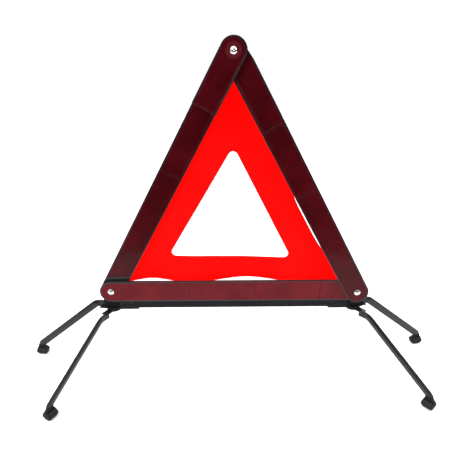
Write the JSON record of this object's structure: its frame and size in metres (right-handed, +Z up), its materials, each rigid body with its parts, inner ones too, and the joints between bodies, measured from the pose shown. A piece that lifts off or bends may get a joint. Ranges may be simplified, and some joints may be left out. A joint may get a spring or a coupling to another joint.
{
  "type": "warning triangle",
  "caption": "Folding roadside warning triangle: red reflector housings around a fluorescent panel, standing on swivelling steel legs with rubber feet.",
  "frame": {"origin": "on the ground, below the centre of the whole footprint", "axes": "+X to the right of the face, the face looks towards -Y, +Z up"},
  "size_m": [0.7088, 0.1904, 0.52],
  "materials": {
    "housing_plastic": "moulded, slightly glossy",
    "reflector_lens": "clear red prismatic reflector, dark maroon when unlit",
    "backing_steel": "zinc plated strip",
    "rail_steel": "dark grey paint",
    "bracket_steel": "black paint",
    "leg_steel": "black paint, slightly glossy",
    "cap_rubber": "matt black rubber",
    "panel_fabric": "fluorescent red woven polyester",
    "hem_plastic": "black strip",
    "washer_nylon": "natural nylon",
    "stud_metal": "nickel plated press stud",
    "swivel_steel": "blackened steel rivet",
    "rivet_steel": "bright steel rivet"
  },
  "bodies": {
    "base": {"base_housing": "housing_plastic", "base_lens": "reflector_lens", "base_backing": "backing_steel", "base_rail": "rail_steel", "rail_screws": "rivet_steel", "rail_rivets": "bracket_steel", "left_bracket": "bracket_steel", "right_bracket": "bracket_steel", "left_pivot_rivet": "rivet_steel", "right_pivot_rivet": "rivet_steel", "right_pivot_spacer": "washer_nylon", "left_pivot_washer": "washer_nylon", "panel_corner_tab": "panel_fabric", "fluorescent_panel": "panel_fabric", "left_swivel_rivet": "swivel_steel", "right_swivel_rivet": "swivel_steel", "left_swivel_washers": "washer_nylon", "right_swivel_washers": "washer_nylon"},
    "left_arm": {"left_arm_housing": "housing_plastic", "left_arm_lens": "reflector_lens", "left_arm_backing": "backing_steel", "apex_catch": "housing_plastic", "apex_catch_lens": "reflector_lens", "apex_stud": "stud_metal", "panel_hem_strip": "hem_plastic", "hem_rivets": "rivet_steel"},
    "right_arm": {"right_arm_housing": "housing_plastic", "right_arm_lens": "reflector_lens", "right_arm_backing": "backing_steel", "apex_socket": "stud_metal"},
    "front_left_leg_body": {"front_left_leg": "leg_steel", "front_left_foot_cap": "cap_rubber"},
    "back_left_leg_body": {"back_left_leg": "leg_steel", "back_left_foot_cap": "cap_rubber"},
    "front_right_leg_body": {"front_right_leg": "leg_steel", "front_right_foot_cap": "cap_rubber"},
    "back_right_leg_body": {"back_right_leg": "leg_steel", "back_right_foot_cap": "cap_rubber"}
  },
  "joints": [
    {"name": "left_arm_fold", "type": "hinge", "parent": "base", "child": "left_arm", "pos_m": [-0.19822, 0.03975, 0.142], "axis": [0, 1, 0], "range_deg": [0, 60.9], "deforming": ["fluorescent_panel"]},
    {"name": "right_arm_fold", "type": "hinge", "parent": "base", "child": "right_arm", "pos_m": [0.20178, 0.03975, 0.142], "axis": [0, -1, 0], "range_deg": [0, 60.9]},
    {"name": "front_left_leg_swivel", "type": "hinge", "parent": "base", "child": "front_left_leg_body", "pos_m": [-0.19822, 0.04435, 0.1095], "axis": [0, 0, 1], "range_deg": [0, 114.5]},
    {"name": "back_left_leg_swivel", "type": "hinge", "parent": "base", "child": "back_left_leg_body", "pos_m": [-0.19822, 0.04435, 0.1095], "axis": [0, 0, -1], "range_deg": [0, 167]},
    {"name": "front_right_leg_swivel", "type": "hinge", "parent": "base", "child": "front_right_leg_body", "pos_m": [0.20178, 0.04435, 0.1095], "axis": [0, 0, -1], "range_deg": [0, 124]},
    {"name": "back_right_leg_swivel", "type": "hinge", "parent": "base", "child": "back_right_leg_body", "pos_m": [0.20178, 0.04435, 0.1095], "axis": [0, 0, 1], "range_deg": [0, 158.5]}
  ],
  "couplings": [
    {"joint": "right_arm_fold", "follows": "left_arm_fold", "ratio": 1}
  ]
}
